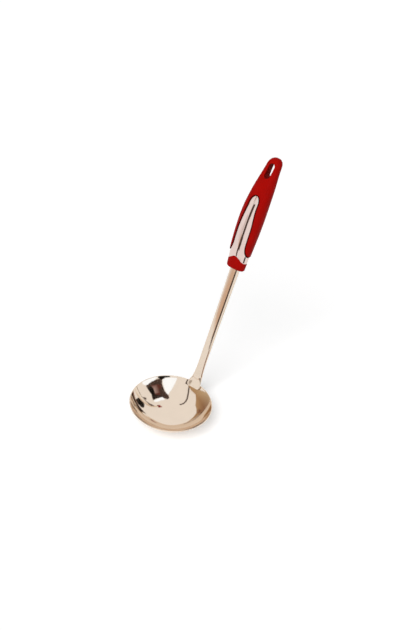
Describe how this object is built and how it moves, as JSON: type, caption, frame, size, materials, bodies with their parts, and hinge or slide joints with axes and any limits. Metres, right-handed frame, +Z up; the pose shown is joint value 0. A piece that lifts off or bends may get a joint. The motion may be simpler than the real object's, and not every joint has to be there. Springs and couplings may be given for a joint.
{
  "type": "sauce ladle",
  "caption": "Small ladle with a shallow round polished steel bowl, a flat leaning steel shank and a red and silver moulded handle with a hanging slot at its end.",
  "frame": {"origin": "centre of the flat under the bowl, on the surface that the ladle stands on in the picture", "axes": "+Z up along the bowl's axis, the shank and handle lean back towards +Y, the handle's front looks towards -Y, X runs across the handle"},
  "size_m": [0.0896, 0.1926, 0.2679],
  "materials": {
    "polished_steel": "polished",
    "plated_plastic": "polished",
    "red_plastic": "satin"
  },
  "bodies": {
    "root": {"bowl": "polished_steel", "shank": "polished_steel", "handle_core": "plated_plastic", "grip": "red_plastic", "collar": "red_plastic"}
  },
  "joints": []
}
